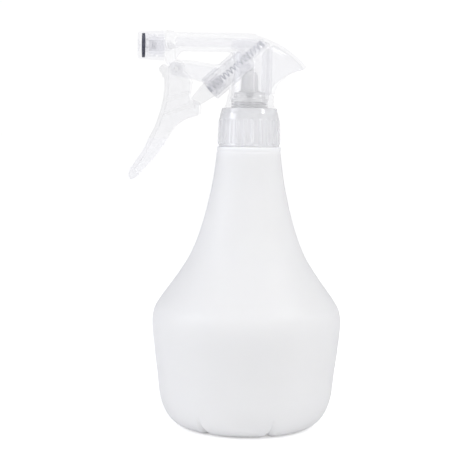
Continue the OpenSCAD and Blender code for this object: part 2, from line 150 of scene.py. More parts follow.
def revolve(name, profile, segs=128, frame_of=None, mod=None, closed=True):
    """Closed ring profile [(r, t)] turned about local +t. frame_of maps (x, y, t) to the row frame, in mm.
    mod(r, t, angle) may change the radius."""
    P = np.asarray(profile, float)
    n = len(P)
    a = np.linspace(0, 2 * np.pi, segs, endpoint=False)
    R = np.repeat(P[None, :, 0], segs, 0)
    T = np.repeat(P[None, :, 1], segs, 0)
    A = np.repeat(a[:, None], n, 1)
    if mod is not None:
        R, T = mod(R, T, A)
    X, Y = R * np.cos(A), R * np.sin(A)
    V = np.stack([X, Y, T], -1).reshape(-1, 3)
    if frame_of is not None:
        V = frame_of(V)
    i = np.arange(segs)[:, None]
    j = np.arange(n if closed else n - 1)[None, :]
    i2, j2 = (i + 1) % segs, (j + 1) % n
    q = np.stack(np.broadcast_arrays(i * n + j, i2 * n + j, i2 * n + j2, i * n + j2), -1).reshape(-1, 4)
    ob = grid_mesh(name, V, q)
    fix_normals(ob)
    return ob


def fix_normals(ob):
    import bmesh
    bm = bmesh.new()
    bm.from_mesh(ob.data)
    bmesh.ops.remove_doubles(bm, verts=bm.verts, dist=1e-7)
    bmesh.ops.recalc_face_normals(bm, faces=bm.faces)
    bm.to_mesh(ob.data)
    bm.free()
    ob.data.shade_smooth()


def to_pump(V):
    """Local (x towards the neck side, y, t along the pump) to the row frame."""
    x, y, t = V[:, 0], V[:, 1], V[:, 2]
    return np.stack([PUMP0[0] + x * PU[1] + t * PU[0], y, PUMP0[1] - x * PU[0] + t * PU[1]], -1)


def to_barrel(x0, z0):
    def f(V):
        return np.stack([x0 - V[:, 2], V[:, 1], z0 + V[:, 0]], -1)
    return f


# ---------------------------------------------------------------- signed distances
def smin(a, b, k):
    if k <= 0:
        return np.minimum(a, b)
    h = np.clip(0.5 + 0.5 * (b - a) / k, 0, 1)
    return b + (a - b) * h - k * h * (1 - h)


def smax(a, b, k):
    return -smin(-a, -b, k)


def sd_poly(px, pz, P):
    """Signed distance to the polygon P, negative inside."""
    P = np.asarray(P, float)
    d = np.full(np.broadcast(px, pz).shape, 1e9)
    s = np.ones_like(d)
    n = len(P)
    for i in range(n):
        a, b = P[i], P[i - 1]
        ex, ez = b - a
        wx, wz = px - a[0], pz - a[1]
        t = np.clip((wx * ex + wz * ez) / (ex * ex + ez * ez + 1e-12), 0, 1)
        d = np.minimum(d, (wx - ex * t) ** 2 + (wz - ez * t) ** 2)
        c1, c2, c3 = pz >= a[1], pz < b[1], ex * wz > ez * wx
        flip = (c1 & c2 & c3) | (~c1 & ~c2 & ~c3)
        s = np.where(flip, -s, s)
    return s * np.sqrt(d)


def slab(v, lo, hi):
    return np.maximum(lo - v, v - hi)


def surface_nets(D, lo, h):
    """Mesh of D = 0 on a regular grid: verts (mm), quads."""
    nx, ny, nz = D.shape
    neg = D < 0
    cs = (nx - 1, ny - 1, nz - 1)
    acc = np.zeros(cs + (3,), np.float32)
    cnt = np.zeros(cs, np.float32)
    D = D.astype(np.float32)
    for ax in range(3):
        sl0 = [slice(None)] * 3
        sl1 = [slice(None)] * 3
        sl0[ax], sl1[ax] = slice(0, -1), slice(1, None)
        d0, d1 = D[tuple(sl0)], D[tuple(sl1)]
        cross = neg[tuple(sl0)] != neg[tuple(sl1)]
        with np.errstate(divide="ignore", invalid="ignore"):
            t = np.where(cross, d0 / (d0 - d1), 0)
        others = [o for o in range(3) if o != ax]
        for a in (0, 1):
            for b in (0, 1):
                sel = [slice(None)] * 3
                sel[others[0]] = slice(a, a + cs[others[0]])
                sel[others[1]] = slice(b, b + cs[others[1]])
                c = cross[tuple(sel)]
                tt = t[tuple(sel)]
                acc[..., ax] += np.where(c, tt, 0)
                acc[..., others[0]] += np.where(c, a, 0)
                acc[..., others[1]] += np.where(c, b, 0)
                cnt += c
    act = cnt > 0
    idx = np.full(cs, -1, np.int64)
    idx[act] = np.arange(act.sum())
    ijk = np.argwhere(act)
    V = (ijk + acc[act] / cnt[act][:, None]) * h + np.asarray(lo)
    quads = []
    for ax in range(3):
        sl0 = [slice(None)] * 3
        sl1 = [slice(None)] * 3
        sl0[ax], sl1[ax] = slice(0, -1), slice(1, None)
        n0, n1 = neg[tuple(sl0)], neg[tuple(sl1)]
        e = np.argwhere(n0 != n1)
        o = [q for q in range(3) if q != ax]
        ok = np.ones(len(e), bool)
        for q in o:
            ok &= (e[:, q] >= 1) & (e[:, q] <= cs[q] - 1)
        e = e[ok]
        inside = n0[tuple(e.T)]
        c = []
        for (a, b) in ((-1, -1), (0, -1), (0, 0), (-1, 0)):
            m = e.copy()
            m[:, o[0]] += a
            m[:, o[1]] += b
            c.append(idx[tuple(m.T)])
        Q = np.stack(c, -1)
        flip = inside if ax != 1 else ~inside
        Q[~flip] = Q[~flip][:, ::-1]
        quads.append(Q)
    return V, np.concatenate(quads)


def sample(G, P, lo, h):
    q = (P - np.asarray(lo)) / h
    i = np.clip(np.floor(q).astype(int), 0, np.array(G.shape) - 2)
    f = q - i
    out = 0
    for a in (0, 1):
        for b in (0, 1):
            for c in (0, 1):
                w = (f[:, 0] if a else 1 - f[:, 0]) * (f[:, 1] if b else 1 - f[:, 1]) * (f[:, 2] if c else 1 - f[:, 2])
                out = out + w * G[i[:, 0] + a, i[:, 1] + b, i[:, 2] + c]
    return out


def sdf_object(name, field, lo, hi, h):
    """Meshes field(X, Y, Z) < 0 (mm) inside the box lo..hi with cells of h."""
    lo, hi = np.asarray(lo, float), np.asarray(hi, float)
    n = np.ceil((hi - lo) / h).astype(int) + 1
    x, y, z = (lo[k] + h * np.arange(n[k]) for k in range(3))
    D = field(x[:, None, None], y[None, :, None], z[None, None, :])
    D = np.broadcast_to(D, tuple(n)).astype(np.float64).copy()
    # the mesh points are pulled onto the zero level along the field's gradient, which melts the last grid noise
    V, Q = surface_nets(D, lo, h)
    gx, gy, gz = np.gradient(D, h)
    for _ in range(3):
        g = np.stack([sample(G, V, lo, h) for G in (gx, gy, gz)], -1)
        d = sample(D, V, lo, h)
        step = (d / np.maximum((g ** 2).sum(-1), 0.25))[:, None] * g
        ln = np.linalg.norm(step, axis=1, keepdims=True)
        V = V - step * np.minimum(1, 0.5 * h / np.maximum(ln, 1e-9))
    ob = grid_mesh(name, V, Q)
    return ob


# ---------------------------------------------------------------- materials
def nodes_of(m):
    m.use_nodes = True
    nt = m.node_tree
    return nt, nt.nodes, nt.links, next(n for n in nt.nodes if n.type == "BSDF_PRINCIPLED")


def plastic(name, base, rough, trans=0.0, ior=1.49, spec=0.5, sss=0.0, sss_r=(4, 4, 4), rough_var=0.05,
            bump=0.12, bump_mm=0.02, grain_mm=0.9, cloud=0.0, cloud_col=None, cloud_mm=14.0, coat=0.0,
            coat_rough=0.1, metallic=0.0, flow=None, sheen=0.0, clear=0.0, clear_tint=(0.985, 0.985, 0.995), soak=0.0, soak_col=(0.5, 0.5, 0.53)):
    """A moulded finish: fine grain in the relief, a slow drift in the gloss, and soft clouding in the colour."""
    m = bpy.data.materials.new(name)
    nt, N, L, b = nodes_of(m)
    b.inputs["Base Color"].default_value = (*base, 1)
    b.inputs["Metallic"].default_value = metallic
    b.inputs["IOR"].default_value = ior
    b.inputs["Specular IOR Level"].default_value = spec
    b.inputs["Transmission Weight"].default_value = trans
    b.inputs["Coat Weight"].default_value = coat
    b.inputs["Coat Roughness"].default_value = coat_rough
    b.inputs["Sheen Weight"].default_value = sheen
    if sss:
        b.inputs["Subsurface Weight"].default_value = sss
        b.inputs["Subsurface Radius"].default_value = tuple(r for r in sss_r)
        b.inputs["Subsurface Scale"].default_value = 0.001
    tc = N.new("ShaderNodeTexCoord")
    mp = N.new("ShaderNodeMapping")
    L.new(tc.outputs["Object"], mp.inputs["Vector"])
    if flow is not None:
        mp.inputs["Scale"].default_value = flow
    slow = N.new("ShaderNodeTexNoise")
    slow.inputs["Scale"].default_value = 1000.0 / cloud_mm
    slow.inputs["Detail"].default_value = 3.0
    slow.inputs["Roughness"].default_value = 0.55
    L.new(mp.outputs["Vector"], slow.inputs["Vector"])
    mr = N.new("ShaderNodeMapRange")
    mr.interpolation_type = "SMOOTHSTEP"
    mr.inputs["From Min"].default_value = 0.15
    mr.inputs["From Max"].default_value = 0.85
    mr.inputs["To Min"].default_value = max(0.0, rough - rough_var)
    mr.inputs["To Max"].default_value = min(1.0, rough + rough_var)
    L.new(slow.outputs["Fac"], mr.inputs["Value"])
    L.new(mr.outputs["Result"], b.inputs["Roughness"])
    if cloud > 0:
        mx = N.new("ShaderNodeMix")
        mx.data_type = "RGBA"
        mx.inputs["A"].default_value = (*base, 1)
        mx.inputs["B"].default_value = (*(cloud_col or [c * 0.94 for c in base]), 1)
        cr = N.new("ShaderNodeMapRange")
        cr.interpolation_type = "SMOOTHSTEP"
        cr.inputs["From Min"].default_value = 0.15
        cr.inputs["From Max"].default_value = 0.85
        cr.inputs["To Min"].default_value = 0.0
        cr.inputs["To Max"].default_value = cloud
        L.new(slow.outputs["Fac"], cr.inputs["Value"])
        L.new(cr.outputs["Result"], mx.inputs["Factor"])
        L.new(mx.outputs["Result"], b.inputs["Base Color"])
    grain = N.new("ShaderNodeTexNoise")
    grain.inputs["Scale"].default_value = 1000.0 / grain_mm
    grain.inputs["Detail"].default_value = 4.0
    grain.inputs["Roughness"].default_value = 0.6
    L.new(mp.outputs["Vector"], grain.inputs["Vector"])
    bp = N.new("ShaderNodeBump")
    bp.inputs["Strength"].default_value = bump
    bp.inputs["Distance"].default_value = bump_mm * MM
    L.new(grain.outputs["Fac"], bp.inputs["Height"])
    L.new(bp.outputs["Normal"], b.inputs["Normal"])
    if clear > 0:
        tr = N.new("ShaderNodeBsdfTransparent")
        tr.inputs["Color"].default_value = (*clear_tint, 1)
        ms = N.new("ShaderNodeMixShader")
        ms.inputs["Fac"].default_value = clear
        L.new(b.outputs["BSDF"], ms.inputs[1])
        L.new(tr.outputs["BSDF"], ms.inputs[2])
        L.new(ms.outputs["Shader"], next(n for n in N if n.type == "OUTPUT_MATERIAL").inputs["Surface"])
    if soak > 0:
        # the plastic takes up light with depth, so solid ribs and walls seen edge on read darker
        va = N.new("ShaderNodeVolumeAbsorption")
        va.inputs["Color"].default_value = (*soak_col, 1)
        va.inputs["Density"].default_value = soak
        L.new(va.outputs["Volume"], next(n for n in N if n.type == "OUTPUT_MATERIAL").inputs["Volume"])
    return m


M_MILK = plastic("milky_pe", (0.87, 0.87, 0.882), 0.44, spec=0.35, sss=0.35, sss_r=(7, 7, 8), rough_var=0.06,
                 bump=0.25, bump_mm=0.03, grain_mm=1.6, cloud=0.5, cloud_col=(0.842, 0.842, 0.86), cloud_mm=26)
# the clear mouldings let most light straight through; what is left is haze and gloss, so their index is raised to
# give the thin remainder the gloss of solid polypropylene
M_CLEAR = plastic("clear_pp", (0.88, 0.88, 0.89), 0.07, trans=0.0, ior=2.0, spec=1.0, rough_var=0.03, bump=0.06,
                  bump_mm=0.01, grain_mm=1.3, cloud=0.5, cloud_col=(0.855, 0.855, 0.875), cloud_mm=9, clear=0.89,
                  clear_tint=(0.984, 0.984, 0.988))
# the pump cylinder's wall is the thickest of the moulding and the haziest
M_CYL = plastic("clear_pp_pump", (0.77, 0.77, 0.795), 0.12, trans=0.0, ior=1.7, spec=0.8, rough_var=0.03, bump=0.06,
                bump_mm=0.01, grain_mm=1.3, cloud=0.5, cloud_col=(0.74, 0.74, 0.77), cloud_mm=9, clear=0.83,
                clear_tint=(0.984, 0.984, 0.988))
M_CAP = plastic("clear_cap", (0.86, 0.86, 0.885), 0.06, trans=0.0, ior=2.0, spec=1.0, rough_var=0.02, bump=0.05,
                bump_mm=0.01, grain_mm=1.1, cloud=0.5, cloud_col=(0.83, 0.835, 0.865), cloud_mm=6, clear=0.955,
                clear_tint=(0.974, 0.974, 0.982), soak=4.0)
M_COLLAR = plastic("clear_pp_collar", (0.99, 0.99, 1.0), 0.06, trans=0.3, ior=1.49, spec=1.0, rough_var=0.03,
                   bump=0.06, bump_mm=0.01, grain_mm=1.1, cloud=0.5, cloud_col=(0.965, 0.965, 0.975), cloud_mm=7,
                   clear=0.44, clear_tint=(0.99, 0.99, 0.992), coat=0.5, coat_rough=0.03, soak=2.0)
M_FROST = plastic("frosted_pp", (0.88, 0.88, 0.885), 0.2, trans=0.0, ior=1.6, spec=0.8, rough_var=0.05, bump=0.08,
                  bump_mm=0.01, grain_mm=1.0, cloud=0.5, cloud_col=(0.855, 0.855, 0.865), cloud_mm=12, clear=0.87,
                  clear_tint=(0.988, 0.988, 0.99), soak=14.0)
M_ROD = plastic("frosted_rod", (0.80, 0.80, 0.81), 0.2, trans=0.0, ior=1.5, spec=0.5, rough_var=0.05, bump=0.08,
                bump_mm=0.01, grain_mm=1.0, cloud=0.5, cloud_col=(0.77, 0.77, 0.785), cloud_mm=5, clear=0.89,
                clear_tint=(0.985, 0.985, 0.987), soak=14.0)
M_VALVE = plastic("valve_pe", (0.87, 0.87, 0.865), 0.38, trans=0.0, rough_var=0.06, bump=0.2, bump_mm=0.02,
                  grain_mm=0.9, cloud=0.5, cloud_col=(0.83, 0.83, 0.83), cloud_mm=6, clear=0.38,
                  clear_tint=(0.97, 0.97, 0.968))
M_PLUG = plastic("plug_pe", (0.89, 0.89, 0.885), 0.42, trans=0.0, rough_var=0.06, bump=0.2, bump_mm=0.02,
                 grain_mm=0.9, cloud=0.5, cloud_col=(0.86, 0.86, 0.855), cloud_mm=6, clear=0.62,
                 clear_tint=(0.982, 0.982, 0.98))
M_NAVY = plastic("navy_seal", (0.004, 0.008, 0.03), 0.42, spec=0.2, rough_var=0.08, bump=0.3, bump_mm=0.02, grain_mm=0.5,
                 cloud=0.6, cloud_col=(0.010, 0.016, 0.05), cloud_mm=3)
M_SEAL = plastic("grey_seal", (0.84, 0.84, 0.845), 0.45, rough_var=0.08, bump=0.3, bump_mm=0.02, grain_mm=0.5,
                 cloud=0.6, cloud_col=(0.82, 0.82, 0.83), cloud_mm=3, clear=0.78, clear_tint=(0.98, 0.98, 0.98))
M_CUP = plastic("grey_cup", (0.88, 0.88, 0.90), 0.25, trans=0.0, rough_var=0.08, bump=0.3, bump_mm=0.02, grain_mm=0.5,
                cloud=0.6, cloud_col=(0.84, 0.84, 0.865), cloud_mm=3, clear=0.97, clear_tint=(0.99, 0.99, 0.992))
M_PIN = plastic("pin_pp", (0.65, 0.65, 0.66), 0.3, rough_var=0.06, bump=0.15, bump_mm=0.02, grain_mm=0.6,
                cloud=0.6, cloud_col=(0.59, 0.59, 0.60), cloud_mm=3, clear=0.85, clear_tint=(0.95, 0.95, 0.955))
M_FOAM = plastic("foam_seal", (0.80, 0.80, 0.81), 0.7, rough_var=0.08, bump=0.6, bump_mm=0.05, grain_mm=0.35,
                 cloud=0.6, cloud_col=(0.74, 0.74, 0.755), cloud_mm=4)
M_TUBE = plastic("tube_pe", (0.90, 0.90, 0.91), 0.25, trans=0.6, rough_var=0.06, bump=0.2, bump_mm=0.02,
                 grain_mm=0.8, cloud=0.5, cloud_col=(0.87, 0.87, 0.885), cloud_mm=8, flow=(1, 1, 0.15))
M_STEEL = plastic("spring_steel", (0.64, 0.65, 0.69), 0.22, metallic=1.0, rough_var=0.07, bump=0.15, bump_mm=0.01,
                  grain_mm=0.25, cloud=0.6, cloud_col=(0.55, 0.56, 0.60), cloud_mm=2)
M_COILS = plastic("natural_pom", (0.86, 0.86, 0.87), 0.25, trans=0.3, ior=1.35, rough_var=0.05, bump=0.15,
                  bump_mm=0.01, grain_mm=0.25, cloud=0.6, cloud_col=(0.82, 0.82, 0.835), cloud_mm=2, clear=0.9,
                  clear_tint=(0.98, 0.98, 0.98))
M_BALL = plastic("glass_ball", (0.92, 0.95, 0.95), 0.03, trans=1.0, ior=1.52, rough_var=0.02, bump=0.05,
                 bump_mm=0.01, grain_mm=0.7)


def dress(ob, m):
    ob.data.materials.clear()
    ob.data.materials.append(m)
    for p in ob.data.polygons:
        p.material_index = 0


def piece(ob, m, body, node):
    dress(ob, m)
    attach(ob, body)
    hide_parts(node)
    return ob


# ---------------------------------------------------------------- bottle
def heel(a, inset=0.0, lift=0.0):
    rc, R, h, p = 27.5, 44.0, 29.0, 2.48
    return (rc + (R - inset - rc) * math.sin(a) ** (2 / p), lift + (h - lift) * (1 - math.cos(a) ** (2 / p)))


BODY = [[43.8, 22], [44.3, 27], [45.1, 33], [45.9, 40], [46.6, 46], [46.95, 51.5], [46.6, 56], [45.3, 60],
        [42.1, 65], [37.7, 71], [33.5, 77], [29.2, 84], [25.6, 92], [22.6, 101], [19.75, 112], [17.7, 122],
        [16.4, 131], [15.9, 136]]
GROOVES = [24.9 + k * 360 / 7 for k in range(7)]


def bottle():
    wall = 1.2
    body = catmull(BODY, 10)
    heel_o = np.array([heel(math.radians(a)) for a in np.arange(2, 70.1, 2)])
    heel_i = np.array([heel(math.radians(a), wall, wall + 0.3) for a in np.arange(2, 70.1, 2)])
    foot = [(0, 0.0), (8, 0.0), (14, 0.0), (18.2, 0.0), (20, 0.0), (24, 0.0), (27.5, 0.0)]
    neck = [(15.9, 136.0), (15.62, 136.6), (15.66, 136.95), (15.77, 137.25), (15.78, 137.8), (15.77, 138.4),
            (15.68, 138.72), (15.45, 138.92), (14.9, 139.0), (14.0, 139.03), (12.95, 139.06), (12.66, 139.2),
            (12.55, 139.6)]
    zs = np.arange(139.9, 150.9, 0.22)
    neck2 = [(12.55, z) for z in zs] + [(12.5, 151.1), (12.35, 151.3), (12.1, 151.4), (11.3, 151.4), (10.95, 151.32),
                                        (10.8, 151.1)]
    inner_neck = [(10.8, 150), (10.8, 145), (10.8, 141), (10.82, 139.6), (11.1, 138.5), (11.6, 137.6),
                  (12.6, 136.9), (13.6, 136.2), (14.2, 135.2), (14.6, 134.4)]
    body_i = [(r - wall, z) for r, z in body[::-1] if 22 <= z < 133.4]
    floor_i = [(26.4, wall + 0.32), (24, wall + 0.36), (22, wall + 0.4), (20, wall + 0.6), (12, wall + 0.7),
               (0, wall + 0.7)]
    P = (foot + heel_o.tolist() + [p for p in body.tolist() if p[1] > 22.4] + neck[1:] + neck2 + inner_neck
         + body_i + heel_i[::-1].tolist() + floor_i)
    P = np.array(P, float)
    P = resample(P, 1.6, closed=False)
    n = len(P)
    # inward normal for the grooves, from the way the profile runs
    t = np.gradient(P, axis=0)
    t /= np.maximum(np.linalg.norm(t, axis=1, keepdims=True), 1e-9)
    nin = np.stack([-t[:, 1], t[:, 0]], -1)      # to the left of travel: inward on the outer skin
    outer = np.arange(n) < int(np.argmax(P[:, 1]))
    nin[~outer] *= -1
    fade = np.clip(1 - P[:, 1] / 11.0, 0, 1) ** 0.9
    fade *= np.clip((P[:, 0] - 11.5) / 6.0, 0, 1)
    fade[P[:, 0] < 12] = 0
    depth = 1.5 * fade
    depth[~outer] *= 0.95
    segs = 720

    def mod(R, T, A):
        # radial creases under the foot, sharp at the bottom with rounded shoulders
        d = np.full(R.shape, 99.0)
        for deg in GROOVES:
            da = (A - math.radians(deg) + math.pi) % (2 * math.pi) - math.pi
            d = np.minimum(d, np.where(np.abs(da) < 0.5, np.abs(R * np.sin(da)), 99.0))
        half = 1.3 + 2.3 * fade[None]
        v = np.clip(1 - d / half, 0, 1)
        g = v * v * (1.35 - 0.35 * v)
        R2 = R + nin[None, :, 0] * depth[None] * g
        T2 = T + nin[None, :, 1] * depth[None] * g
        # neck thread, a single start with faded ends
        zone = outer & (P[:, 1] > 139.7) & (P[:, 1] < 151.0) & (P[:, 0] > 12.4)
        for k in (-1, 0, 1, 2):
            turn = A / (2 * math.pi) + k
            z0 = 142.9 + 4.233 * turn
            on = np.clip(np.minimum(turn / 0.12, (1.1 - turn) / 0.12), 0, 1)
            on = on * on * (3 - 2 * on)
            u = np.abs(T - z0)
            up = np.clip((1.05 - u) / 0.55, 0, 1)
            up = up * up * (3 - 2 * up)
            R2 = R2 + np.where(zone[None], 1.04 * on * up, 0)
        return R2, T2

    # denser round the grooves is not needed at this count
    ob = revolve("bottle_skin", P, segs, mod=mod, closed=False)
    return ob


# ---------------------------------------------------------------- collar
def collar():
    prof = [(14.8, 139.15), (15.0, 139.15), (15.04, 139.3), (15.02, 139.6)]
    zs = np.arange(139.9, 152.5, 0.3)
    prof += [(15.0 - (z - 139.4) * (0.36 / 12.2), z) for z in zs]
    prof += [(14.64, 152.55), (14.6, 152.75), (14.52, 153.2), (14.2, 155.1), (14.05, 155.5), (13.9, 155.75),
             (13.6, 157.35), (13.45, 157.72), (13.15, 157.9), (11.0, 157.9), (10.7, 157.75), (10.7, 156.05),
             (10.9, 156.0), (12.9, 156.0), (13.08, 155.95), (13.1, 155.8), (13.1, 151.75), (13.15, 151.6),
             (13.9, 151.55)]
    prof += [(13.95, z) for z in np.arange(151.2, 140.2, -0.22)]
    prof += [(13.97, 139.7), (14.1, 139.25), (14.3, 139.15)]
    P = np.array(prof, float)
    n = len(P)
    idx = np.arange(n)
    top = int(np.argmax(P[:, 1]))
    outer = (idx < top) & (P[:, 1] < 153.0) & (P[:, 0] > 14.5)
    inner = (idx > top) & (P[:, 0] > 13.93) & (P[:, 0] < 13.96) & (P[:, 1] < 151.3)

    def mod(R, T, A):
        w = 2 * math.pi / 24
        da = np.abs((A + w / 2) % w - w / 2) * 15.3
        s = np.clip((1.22 - da) / 0.62, 0, 1)
        s = s * s * (3 - 2 * s)
        crown = 1 - 0.12 * np.clip(da / 0.95, 0, 1) ** 2
        e = np.clip((152.35 - T) / 0.6, 0, 1)
        e = np.sqrt(np.clip(1 - (1 - e) ** 2, 0, 1))
        lo = np.clip((T - 140.15) / 0.5, 0, 1)
        lo = np.sqrt(np.clip(1 - (1 - lo) ** 2, 0, 1))
        rib = 15.58 - (T - 139.7) * (0.53 / 12.0)
        R2 = np.where(outer[None], R + np.maximum(rib - R, 0) * s * crown * e * lo, R)
        for k in (-1, 0, 1, 2):
            turn = A / (2 * math.pi) + k
            z0 = 142.9 - 4.233 / 2 + 4.233 * turn
            on = np.clip(np.minimum(turn / 0.12, (1.05 - turn) / 0.12), 0, 1)
            on = on * on * (3 - 2 * on)
            u = np.abs(T - z0)
            up = np.clip((1.05 - u) / 0.6, 0, 1)
            up = up * up * (3 - 2 * up)
            R2 = R2 - np.where(inner[None], 0.98 * on * up, 0)
        return R2, T

    return revolve("collar_skin", P, 24 * 26, mod=mod)


# ---------------------------------------------------------------- sprayer housing
HOOD_TOP = [[-17, 194.25], [-9, 194.3], [-4, 194.35], [-1, 194.2], [3, 193.5], [7, 192.4], [11, 190.85],
            [15, 189.05], [19, 186.55], [23, 183.45], [26, 180.75], [28.4, 178.05]]
HOOD_PLAN = [[-16, 4.7], [-11, 6.9], [-6, 9.8], [-2, 11.1], [1, 11.3], [4, 11.0], [8, 10.2], [12, 9.2],
             [16, 8.1], [20, 6.8], [24, 5.4], [27, 4.0], [28.5, 2.7]]
HOOD_SIDE = [[11.4, 164.6], [11.9, 166.8], [12.7, 168.8], [13.4, 169.8], [14.6, 170.9], [16.3, 172.4],
             [18.2, 173.9], [19.5, 174.8], [22.5, 175.9], [26, 177], [28.6, 178.6], [30, 199], [-15.5, 199],
             [-15.5, 186.6], [-9.2, 185.5], [-4, 184.2], [1, 182], [3.2, 178], [4.2, 172], [4.6, 164.6]]
HOOD_HOLLOW = [[4.5, 162], [14, 162], [32, 175], [32, 199], [-9, 199], [-9, 187.2], [-6, 186], [-6, 176],
               [2, 170]]
STRUT_OUT = [[-38.9, 174.9], [-39.2, 177], [-40.9, 179.6], [-41.2, 180.4], [-41.2, 184.6], [-37.6, 184.6], [-37.3, 180.9],
             [-33.0, 180.6], [-27.3, 180.2], [-20, 179.0], [-13, 178.6], [-13, 174.5], [-22.6, 170.3],
             [-27, 171.5], [-32, 172.7], [-36.2, 173.2], [-38.4, 173.9]]
STRUT_WEB = [[-41.2, 179.4], [-41.2, 184.6], [-37.6, 184.6], [-37.3, 180.9], [-33.0, 180.6], [-27.3, 180.2],
             [-20, 179.0], [-13, 178.6], [-13, 177.4], [-20, 177.6], [-27.4, 178.8], [-33, 179.2],
             [-38.4, 179.4]]
FOOT = [[9.0, 155.9], [10.4, 155.9], [10.4, 158.1], [12.0, 158.1], [12.2, 158.5], [12.2, 159.4],
        [11.9, 159.7], [11.9, 160.6], [12.2, 160.9], [12.2, 161.5], [11.9, 161.8], [11.9, 163.0], [12.2, 163.3],
        [12.2, 163.9], [11.9, 164.3], [11.0, 164.9], [9.6, 164.9], [9.6, 161.8], [9.0, 161.8]]

FOOT_CUT = [[-13, 154], [-13, 157.6], [-12.3, 158.4], [-11.5, 159.7], [-10.85, 161.3], [-10.4, 163.2], [-10.15, 166],
            [14, 166], [14, 154]]


def rev_table(rt, z, P):
    """Signed distance to a turned profile, from a fine table along the radius."""
    rg = np.arange(0, float(rt.max()) + 0.2, 0.05)
    zz = z.ravel()
    T = sd_poly(rg[:, None], zz[None, :], P)
    q = rt[..., 0] / 0.05
    i = np.clip(q.astype(int), 0, len(rg) - 2)
    f = (q - i)[..., None]
    return T[i] * (1 - f) + T[i + 1] * f


def housing_field(X, Y, Z):
    ay = np.abs(Y)
    # crown of the hood, turned about a tilted axis
    a = math.radians(-19)
    top = catmull(HOOD_TOP, 6)
    s_p = top[:, 0] * math.cos(a) + (top[:, 1] - 182) * math.sin(a)
    r_p = -top[:, 0] * math.sin(a) + (top[:, 1] - 182) * math.cos(a)
    S = X * math.cos(a) + (Z - 182) * math.sin(a)
    Q = -X * math.sin(a) + (Z - 182) * math.cos(a)
    Rs = np.interp(S, s_p, r_p)
    slope = np.interp(S, s_p, np.gradient(r_p, s_p))
    crown = (np.hypot(ay, np.maximum(Q, 0)) - Rs) / np.sqrt(1 + slope ** 2)
    plan_c = catmull(HOOD_PLAN, 6)
    W = np.interp(X, plan_c[:, 0], plan_c[:, 1])
    Ws = np.interp(X, plan_c[:, 0], np.gradient(plan_c[:, 1], plan_c[:, 0]))
    plan = (ay - W) / np.sqrt(1 + Ws ** 2)
    side = sd_poly(X, Z, HOOD_SIDE)
    outer = smax(smax(smax(side, plan, 1.2), crown, 1.3), np.maximum(-15.6 - X, X - 28.4), 0.8)
    hollow = smax(smax(sd_poly(X, Z, HOOD_HOLLOW), plan + 1.35, 1.0), crown + 1.45, 1.2)
    hood = smax(outer, -hollow, 0.5)
    rt = np.hypot(X, Y)
    front = smax(slab(X, -9.8, -8.7), smax(ay - 5.4, 164 - Z, 0.2), 0.2)
    tower = smax(smin(smax(np.abs(rt - 10.3) - 0.7, -9.8 - X, 0.5), front, 0.3), crown + 0.7, 0.4)
    tower = smax(tower,
                 sd_poly(X, Z, [[-12, 163], [13, 163], [13, 199], [-4, 199], [-4, 186], [-9.2, 185.0],
                                [-12, 182.4]]), 0.5)
    foot = rev_table(rt, Z, round_profile(FOOT, 0.28, n=2))
    foot = smax(foot, sd_poly(X, Z, FOOT_CUT), 0.3)
    D = smin(hood, tower, 0.7)
    D = smin(D, foot, 0.5)
    # pump cylinder and its passage
    t = (X - PUMP0[0]) * PU[0] + (Z - PUMP0[1]) * PU[1]
    q = (X - PUMP0[0]) * PU[1] - (Z - PUMP0[1]) * PU[0]
    rp = np.hypot(q, Y)
    pump = smax(rp - 6.3, slab(t, -0.6, 24.2), 0.6)
    boss = smax(rp - 3.0, slab(t, 20, 35.2), 0.5)
    pump = smin(pump, boss, 1.0)
    # barrel, flange, stub
    rb = np.hypot(Y, Z - BARREL_Z)
    rc = np.hypot(Y, Z - CAP_Z)
    barrel = smax(rb - 4.6, slab(X, -39.5, 3.0), 0.3)
    flange = smax(rc - 7.35, slab(X, -41.9, -37.4), 0.7)
    stub = smax(rc - 4.1, slab(X, -49.6, -40.5), 0.4)
    bead = smax(rc - 4.85, slab(X, -47.6, -46.7), 0.4)
    stub = smin(stub, bead, 0.3)
    plates = smax(sd_poly(X, Z, round_profile(STRUT_OUT, 0.9, n=3)), slab(ay, 4.8, 6.2), 0.6)
    web = smax(sd_poly(X, Z, STRUT_WEB), ay - 5.6, 0.4)
    gus = smax(sd_poly(X, Z, [[-37.9, 180.6], [-37.0, 180.7], [-33.4, 185.5], [-33.4, 187], [-37.9, 187]]),
               ay - 1.5, 0.5)
    arm = smin(smin(plates, web, 0.5), gus, 0.6)
    D = smin(D, barrel, 0.9)
    D = smin(D, pump, 0.7)
    D = smin(D, arm, 0.8)
    D = smin(D, flange, 0.9)
    D = smin(D, stub, 0.5)
    # bores and passages
    for cut in (smax(rp - 5.0, slab(t, -3, 22.5), 0.2), smax(rp - 2.1, slab(t, 20, 34.6), 0.2),
                smax(rb - 2.2, slab(X, -36.6, 6.6), 0.2),
                smax(np.hypot(X + 1, Y) - 1.3, slab(Z, 173.2, 179.2), 0.1),
                smax(rc - 1.0, slab(X, -40, -35.4), 0.1), smax(rc - 2.6, slab(X, -52, -38.9), 0.5),
                smax(np.hypot(X - PIVOT[0], Z - PIVOT[1]) - 1.36, ay - 12, 0.1)):
        D = smax(D, -cut, 0.3)
    return D


